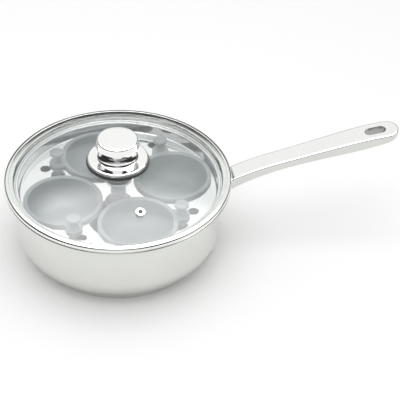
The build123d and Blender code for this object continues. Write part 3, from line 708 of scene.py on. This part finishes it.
def make_cup_mesh():
    bm = bmesh.new()
    edge = ear_edge_radius
    outline, ear_points = cup_outline(0)
    count = len(outline)

    def depth(k):
        """How far the edge hangs at a point of the outline: the ear's skirt stands just off the
        tray."""
        from_middle = abs(k - ear_points / 2)
        away = min(from_middle, count - from_middle) - ear_points / 2
        share = min(max(away / ear_blend_steps, 0), 1)
        return cup_flange_height - ear_skirt_lift * (1 - 3 * share ** 2 + 2 * share ** 3)

    def loop(offset, height):
        points, _ = cup_outline(offset)
        return [bm.verts.new((x, y, height(k))) for k, (x, y) in enumerate(points)]
    rings = [loop(-edge - support, lambda k: 0)]
    rings += [loop(out - edge, lambda k, z=z: z - edge)
              for out, z in arc((0, 0), edge, 90, 0, edge_steps)]
    rings += [loop(out - edge, lambda k, z=z: z + edge - depth(k))
              for out, z in arc((0, 0), edge, 0, -90, edge_steps)]
    rings += [loop(-cup_sheet, lambda k: -depth(k)),
              loop(-cup_sheet - support, lambda k: -(depth(k) + cup_sheet) / 2),
              loop(-cup_sheet - support * 2, lambda k: -cup_sheet),
              loop(-cup_sheet - support * 3, lambda k: -cup_sheet)]
    for upper, lower in zip(rings, rings[1:]):
        bridge(bm, upper, lower)
    lip = cup_bowl_radius + cup_lip_radius
    corner = (cup_floor_radius, cup_corner_radius - cup_depth)
    bowl = [(lip + support, 0), *arc((lip, -cup_lip_radius), cup_lip_radius, 90, 180),
            *arc(corner, cup_corner_radius, 0, -90, corner_steps),
            (0, -cup_depth), (0, -cup_depth - cup_sheet),
            *arc(corner, cup_corner_radius + cup_sheet, -90, 0, corner_steps),
            (cup_outer_radius, -cup_sheet), (cup_outer_radius + support, -cup_sheet)]
    turn_section(bm, bowl, cup_turns, closed=False)
    for offset, radius, height in ((-edge - support, lip, 0),
                                   (-cup_sheet - support * 3, cup_outer_radius, -cup_sheet)):
        loops = [cup_outline(offset)[0], circle_points(radius + support, cup_turns)]
        flat_fill(bm, loops, height, lambda point, radius=radius: point.length > radius)
    return finish_mesh(bm, "cup")


def make_cups():
    cup_mesh = make_cup_mesh()
    knob_mesh = turned_mesh("cup_knob", knob_section(**cup_knob_sizes), small_turns)
    ear = Matrix.Translation((*at(ear_distance, ear_angle), 0))
    for number, angle in enumerate(cup_places, start=1):
        body = f"poaching_cup_{number}"
        place = (Matrix.Translation((*at(cup_pitch_radius, angle), cup_flange_top))
                 @ Matrix.Rotation(radians(angle), 4, "Z"))
        add_piece(f"egg_cup_{number}", cup_mesh, body, [f"cup_{number}"], place)
        add_piece(f"egg_cup_{number}_knob", knob_mesh, body, [f"cup_{number}_knob"], place @ ear)


# Lid

def dome_arc(radius, start, end, steps=fine_steps):
    """Points on a sphere about the dome's centre."""
    return arc((0, dome_centre_height), radius, start, end, steps)


def dome_angle(distance, radius):
    """The angle at which such a sphere lies at a distance from the axis."""
    return degrees(acos(distance / radius))


def knee(sphere, flat):
    """Centre of the rounding between a sphere about the dome's centre and the flat rim, and the
    angle at which it meets the sphere."""
    height = flat + glass_knee_radius
    rise = height - dome_centre_height
    along = sqrt((sphere + glass_knee_radius) ** 2 - rise ** 2)
    return (along, height), degrees(atan2(rise, along))


def vent_frame():
    """The place of the steam vent, square to the glass."""
    slope = asin(vent_distance / dome_radius)
    lean = Matrix.Rotation(radians(vent_angle), 4, "Z") @ Matrix.Rotation(slope, 4, "Y")
    height = dome_centre_height + sqrt(dome_radius ** 2 - vent_distance ** 2)
    return Matrix.Translation((*at(vent_distance, vent_angle), height)) @ lean


def cut_vent_hole(glass):
    """Bore the glass for the eyelet's barrel."""
    hole = vent_barrel_radius + vent_clearance
    section = [(0, -glass_thickness * 2), (hole, -glass_thickness * 2), (hole, glass_thickness),
               (0, glass_thickness)]
    drill = turned_mesh("vent_drill", section, small_turns, vent_frame())
    cutter = bpy.data.objects.new("vent_drill", drill)
    bpy.context.scene.collection.objects.link(cutter)
    bore = glass.modifiers.new("vent_hole", "BOOLEAN")
    bore.operation = "DIFFERENCE"
    bore.solver = "EXACT"
    bore.object = cutter
    evaluated = glass.evaluated_get(bpy.context.evaluated_depsgraph_get())
    bored = bpy.data.meshes.new_from_object(evaluated)
    glass.modifiers.remove(bore)
    glass.data = bored
    bpy.data.objects.remove(cutter)
    bpy.data.meshes.remove(drill)


def make_glass():
    top_knee, top_angle = knee(dome_radius, glass_rim_top)
    low_knee, low_angle = knee(under_dome_radius, glass_rim_bottom)
    edge = glass_edge_round
    edge_middle = glass_edge_radius - edge
    section = [*dome_arc(dome_radius, dome_angle(knob_screw_hole, dome_radius), top_angle,
                         dome_steps),
               *arc(top_knee, glass_knee_radius, top_angle - 180, -90),
               *arc((edge_middle, glass_rim_top - edge), edge, 90, 0, edge_steps),
               *arc((edge_middle, glass_rim_bottom + edge), edge, 0, -90, edge_steps),
               *arc(low_knee, glass_knee_radius, -90, low_angle - 180),
               *dome_arc(under_dome_radius, low_angle,
                         dome_angle(knob_screw_hole, under_dome_radius), dome_steps)]
    cut_vent_hole(turned_piece("dome_glass", section, "lid", "lid_glass"))


def make_band():
    roll = band_roll_radius
    inner_roll = roll - band_sheet
    channel = band_radius - band_sheet
    inner_step = step_radius - band_sheet
    shelf = band_radius - band_shelf
    foot = lid_seat - band_skirt
    half = band_sheet / 2
    turn = radians(band_crown_turn)
    roll_height = band_top - band_crown_radius * (1 - cos(turn)) - roll * cos(turn)
    roll_centre = (band_radius - roll, roll_height)
    crown_centre = (band_radius - roll - (band_crown_radius - roll) * sin(turn),
                    band_top - band_crown_radius)
    edge_middle = band_radius - band_cover + half
    edge_turn = degrees(asin((edge_middle - crown_centre[0]) / band_crown_radius))
    edge_top = crown_centre[1] + band_crown_radius * cos(radians(edge_turn))
    band = [*arc((edge_middle, edge_top - half), half, 90, 270),
            *arc(roll_centre, inner_roll, 90, 0),
            (channel, step_height + band_sheet), (inner_step, step_height + band_sheet),
            (inner_step, lid_seat + band_sheet), (shelf, lid_seat + band_sheet),
            *arc((shelf + half, foot + half), half, 180, 360),
            (shelf + band_sheet, lid_seat), (step_radius, lid_seat), (step_radius, step_height),
            *arc((band_radius - half, step_height + half), half, -90, 0, edge_steps),
            *arc(roll_centre, roll, 0, 90 - band_crown_turn, curve_steps),
            *arc(crown_centre, band_crown_radius, 90 - band_crown_turn, 90 - edge_turn)]
    turned_piece("rim_band", band, "lid", "lid_band").data.materials[0] = band_steel
    seal_sheet = glass_rim_bottom - lid_seat - band_sheet
    inner = glass_edge_radius - seal_reach
    seal = [(inner, glass_rim_top), (inner, glass_rim_top + seal_sheet),
            (channel - inner_roll, glass_rim_top + seal_sheet),
            (channel, glass_rim_top - inner_roll), (channel, step_height + band_sheet),
            (inner_step, step_height + band_sheet), (inner_step, glass_rim_bottom - seal_sheet),
            (inner, glass_rim_bottom - seal_sheet), (inner, glass_rim_bottom),
            (glass_edge_radius, glass_rim_bottom), (glass_edge_radius, glass_rim_top)]
    turned_piece("rim_seal", seal, "lid", "lid_seal")


def make_vent():
    top = vent_flange_height
    low = -glass_thickness
    flange = bend((vent_flange_radius, 0), (vent_flange_radius, top * vent_flange_fullness),
                  (vent_barrel_radius + vent_wall, top), (vent_barrel_radius, top))
    rounding = bend((vent_barrel_radius, top), (vent_bore_radius + vent_wall / 4, top),
                    (vent_bore_radius, top * vent_mouth_fullness), (vent_bore_radius, top / 2),
                    edge_steps)
    curl = bend((vent_bore_radius, low - vent_wall / 2), (vent_bore_radius, low - vent_wall),
                (vent_curl_radius, low - vent_wall), (vent_curl_radius, low), fillet_steps)
    section = [(vent_barrel_radius, 0), *flange, *rounding, *curl, (vent_barrel_radius, low)]
    turned_piece("vent_ring", section, "lid", "vent_eyelet", small_turns, vent_frame())


def make_knob_flange():
    roll = knob_flange_roll
    sheet = knob_flange_sheet
    slope = degrees(atan2(knob_flange_crown, knob_flange_radius - roll - knob_foot_radius))
    roll_centre = (knob_flange_radius - roll, knob_flange_top - roll)
    flange = [(knob_screw_hole, knob_crown_top), (knob_foot_radius, knob_crown_top),
              *arc(roll_centre, roll, 90 - slope, 0, curve_steps),
              (knob_flange_radius, knob_flange_foot),
              (knob_flange_radius - sheet, knob_flange_foot),
              *arc(roll_centre, roll - sheet, 0, 90 - slope),
              (knob_foot_radius, knob_crown_top - sheet), (knob_screw_hole, knob_crown_top - sheet)]
    turned_piece("grip_flange", flange, "lid", "knob_flange")
    gasket_radius = knob_flange_radius + knob_gasket_lip
    lip = knob_gasket_lip / 2
    gasket = [*dome_arc(dome_radius, dome_angle(knob_screw_hole, dome_radius),
                        dome_angle(gasket_radius, dome_radius)),
              *arc((gasket_radius - lip, knob_flange_foot - lip), lip, 0, 90, edge_steps),
              (knob_foot_radius, knob_flange_foot), (knob_foot_radius, knob_crown_top - sheet),
              (knob_screw_hole, knob_crown_top - sheet)]
    turned_piece("grip_gasket", gasket, "lid", "knob_gasket")


def make_knob_body():
    wall = knob_body_wall
    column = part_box("knob_insert")[1].x
    groove = knob_body_top - knob_groove_height
    neck = knob_shoulder_radius - knob_groove_depth
    waist = knob_crown_top + knob_waist_share * knob_body_height
    hollow = knob_waist_radius - wall
    flare = knob_foot_radius - knob_waist_radius
    foot_out, foot_up = knob_foot_pull
    shoulder_in, shoulder_down = knob_shoulder_pull
    lower = bend((knob_foot_radius, knob_crown_top),
                 (knob_waist_radius + flare * foot_out, knob_crown_top + flare * foot_up),
                 (knob_waist_radius, waist - flare), (knob_waist_radius, waist), fine_steps)
    upper = bend((knob_waist_radius, waist), (knob_waist_radius, waist + flare),
                 (knob_shoulder_radius - flare * shoulder_in, groove - flare * shoulder_down),
                 (knob_shoulder_radius, groove))
    body = [*lower, *upper, (neck, groove), (neck, knob_body_top), (column, knob_body_top),
            (column, knob_body_top - wall), (hollow, knob_body_top - wall),
            (hollow, knob_crown_top)]
    turned_piece("grip_body", body, "lid", "knob_body")


def make_knob_cap():
    """A slight cone with a rounded edge and a low crown."""
    top = knob_body_top + knob_cap_height
    radius = knob_cap_top_radius
    edge = knob_cap_edge_radius
    chamfer = knob_groove_height
    lean = degrees(atan2(knob_cap_radius - radius, knob_cap_height - chamfer - edge))
    pulls = [(radius * out, top + knob_cap_crown * up) for out, up in knob_cap_pulls]
    cap = [(0, knob_body_top), (knob_shoulder_radius, knob_body_top),
           (knob_cap_radius, knob_body_top + chamfer),
           *arc((radius - edge, top - edge), edge, lean, 90, curve_steps),
           *bend((radius - edge, top), *pulls, (0, top + knob_cap_crown), fine_steps)]
    turned_piece("grip_cap", cap, "lid", "knob_cap")


def make_under_gasket():
    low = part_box("knob_under_gasket")[0].z
    lip = under_gasket_lip
    gasket = [*dome_arc(under_dome_radius, dome_angle(knob_screw_hole, under_dome_radius),
                        dome_angle(under_gasket_radius, under_dome_radius)),
              *arc((under_gasket_radius - lip, low + lip), lip, 0, -90, edge_steps),
              (knob_screw_hole, low)]
    turned_piece("under_gasket", gasket, "lid", "knob_under_gasket")


# Stage, lamp, room and camera

def make_floor():
    reach = floor_reach
    mesh = bpy.data.meshes.new("floor")
    mesh.from_pydata([(-reach, -reach, 0), (reach, -reach, 0), (reach, reach, 0),
                      (-reach, reach, 0)], [], [(0, 1, 2, 3)])
    floor = bpy.data.objects.new("floor", mesh)
    bpy.context.scene.collection.objects.link(floor)
    material, tree, shader = new_nodes("floor")
    shader.inputs["Base Color"].default_value = floor_colour
    shader.inputs["Roughness"].default_value = floor_roughness
    shader.inputs["Specular IOR Level"].default_value = 0.0
    mesh.materials.append(material)


def eased(tree, value, degrees_between, low=0.0, high=1.0):
    """A value that goes smoothly from low to high between two angles."""
    start, end = degrees_between
    return add_node(tree, "ShaderNodeMapRange",
                    {"Value": value, "From Min": radians(start), "From Max": radians(end),
                     "To Min": low, "To Max": high},
                    interpolation_type="SMOOTHSTEP").outputs["Result"]


def part_along(tree, direction, axis):
    return add_node(tree, "ShaderNodeVectorMath", {0: direction, 1: axis},
                    operation="DOT_PRODUCT").outputs["Value"]


def studio_light(tree):
    """What polished surfaces see of the room: white walls, a bright soft ceiling panel and, low
    round the table, the dark edge of the room, which is open at the front."""
    direction = tree.nodes.new("ShaderNodeTexCoord").outputs["Generated"]
    turn = radians(camera_turn)
    front = part_along(tree, direction, (-sin(turn), -cos(turn), 0))
    side = part_along(tree, direction, (cos(turn), -sin(turn), 0))
    up = part_along(tree, direction, (0, 0, 1))
    height = calculate(tree, "ARCSINE", up)
    bearing = calculate(tree, "ABSOLUTE", calculate(tree, "ARCTAN2", side, front))
    top = eased(tree, bearing, dark_edge_side, radians(dark_edge_front_height),
                radians(dark_edge_side_height))
    top = eased(tree, bearing, dark_edge_back, top, radians(dark_edge_back_height))
    soft = dark_edge_softness
    wall = eased(tree, calculate(tree, "SUBTRACT", height, top), (-soft, soft))
    edge = eased(tree, bearing, front_gap_side, front_gap_light, dark_edge_light)
    over = calculate(tree, "ARCTAN2", up, front)
    aside = calculate(tree, "ARCSINE", side)
    along = calculate(tree, "MULTIPLY", eased(tree, over, panel_near),
                      eased(tree, over, panel_far, 1.0, 0.0))
    across = calculate(tree, "MULTIPLY", eased(tree, aside, panel_left),
                       eased(tree, aside, panel_right, 1.0, 0.0))
    panel = calculate(tree, "MULTIPLY", along, across)
    return calculate(tree, "ADD", blend(tree, wall, edge, 1.0),
                     calculate(tree, "MULTIPLY", panel, panel_light - 1.0))


def make_world():
    """The background is plain white, the room lights what is matt evenly, and what mirrors shows
    the studio, softened under the lid."""
    world = bpy.data.worlds.new("studio")
    bpy.context.scene.world = world
    world.use_nodes = True
    tree = world.node_tree
    path = tree.nodes.new("ShaderNodeLightPath").outputs
    seen = calculate(tree, "MAXIMUM", path["Is Camera Ray"], path["Is Transmission Ray"])
    seen = calculate(tree, "MAXIMUM", seen, path["Is Glossy Ray"])
    mirrored = calculate(tree, "GREATER_THAN", path["Glossy Depth"], under_one)
    covered = calculate(tree, "GREATER_THAN", path["Transmission Depth"], under_one)
    studio = studio_light(tree)
    dimmed = calculate(tree, "MINIMUM", studio, under_lid_limit)
    softer = blend(tree, under_lid_share, dimmed, under_lid_light)
    shown = blend(tree, mirrored, 1.0, blend(tree, covered, studio, softer))
    background = tree.nodes["Background"].inputs
    background["Color"].default_value = (1, 1, 1, 1)
    tree.links.new(blend(tree, seen, room_light, shown), background["Strength"])


def make_softbox():
    lamp = bpy.data.lights.new("softbox", "AREA")
    lamp.shape = "RECTANGLE"
    lamp.size, lamp.size_y = softbox_sides
    lamp.energy = softbox_power
    softbox = bpy.data.objects.new("softbox", lamp)
    bpy.context.scene.collection.objects.link(softbox)
    softbox.location = softbox_place
    softbox.rotation_euler = (0, 0, radians(-camera_turn))
    softbox.visible_glossy = False


def make_camera():
    rise = radians(camera_elevation)
    turn = radians(camera_turn)
    roll = radians(camera_roll)
    right = Vector((cos(turn), -sin(turn), 0))
    away = Vector((sin(turn), cos(turn), 0))
    up = away * sin(rise) + Vector((0, 0, cos(rise)))
    forward = away * cos(rise) - Vector((0, 0, sin(rise)))
    seen = Vector((0, 0, band_top))
    eye = seen - right * axis_right_of_view - up * axis_above_view - forward * camera_distance
    across = right * cos(roll) + up * sin(roll)
    upright = up * cos(roll) - right * sin(roll)
    turned = Matrix((across, upright, -forward)).transposed().to_4x4()
    data = bpy.data.cameras.new("camera")
    data.lens = camera_lens
    data.sensor_width = camera_sensor
    data.clip_start = camera_near_clip
    camera = bpy.data.objects.new("camera", data)
    bpy.context.scene.collection.objects.link(camera)
    camera.matrix_world = Matrix.Translation(eye) @ turned
    bpy.context.scene.camera = camera


finish_frame_nodes()
make_pan()
make_tray()
make_cups()
make_tray_knob()
make_glass()
make_band()
make_vent()
make_knob_flange()
make_knob_body()
make_knob_cap()
make_under_gasket()
make_floor()
make_world()
make_softbox()
make_camera()
bpy.context.scene.view_settings.view_transform = "Standard"
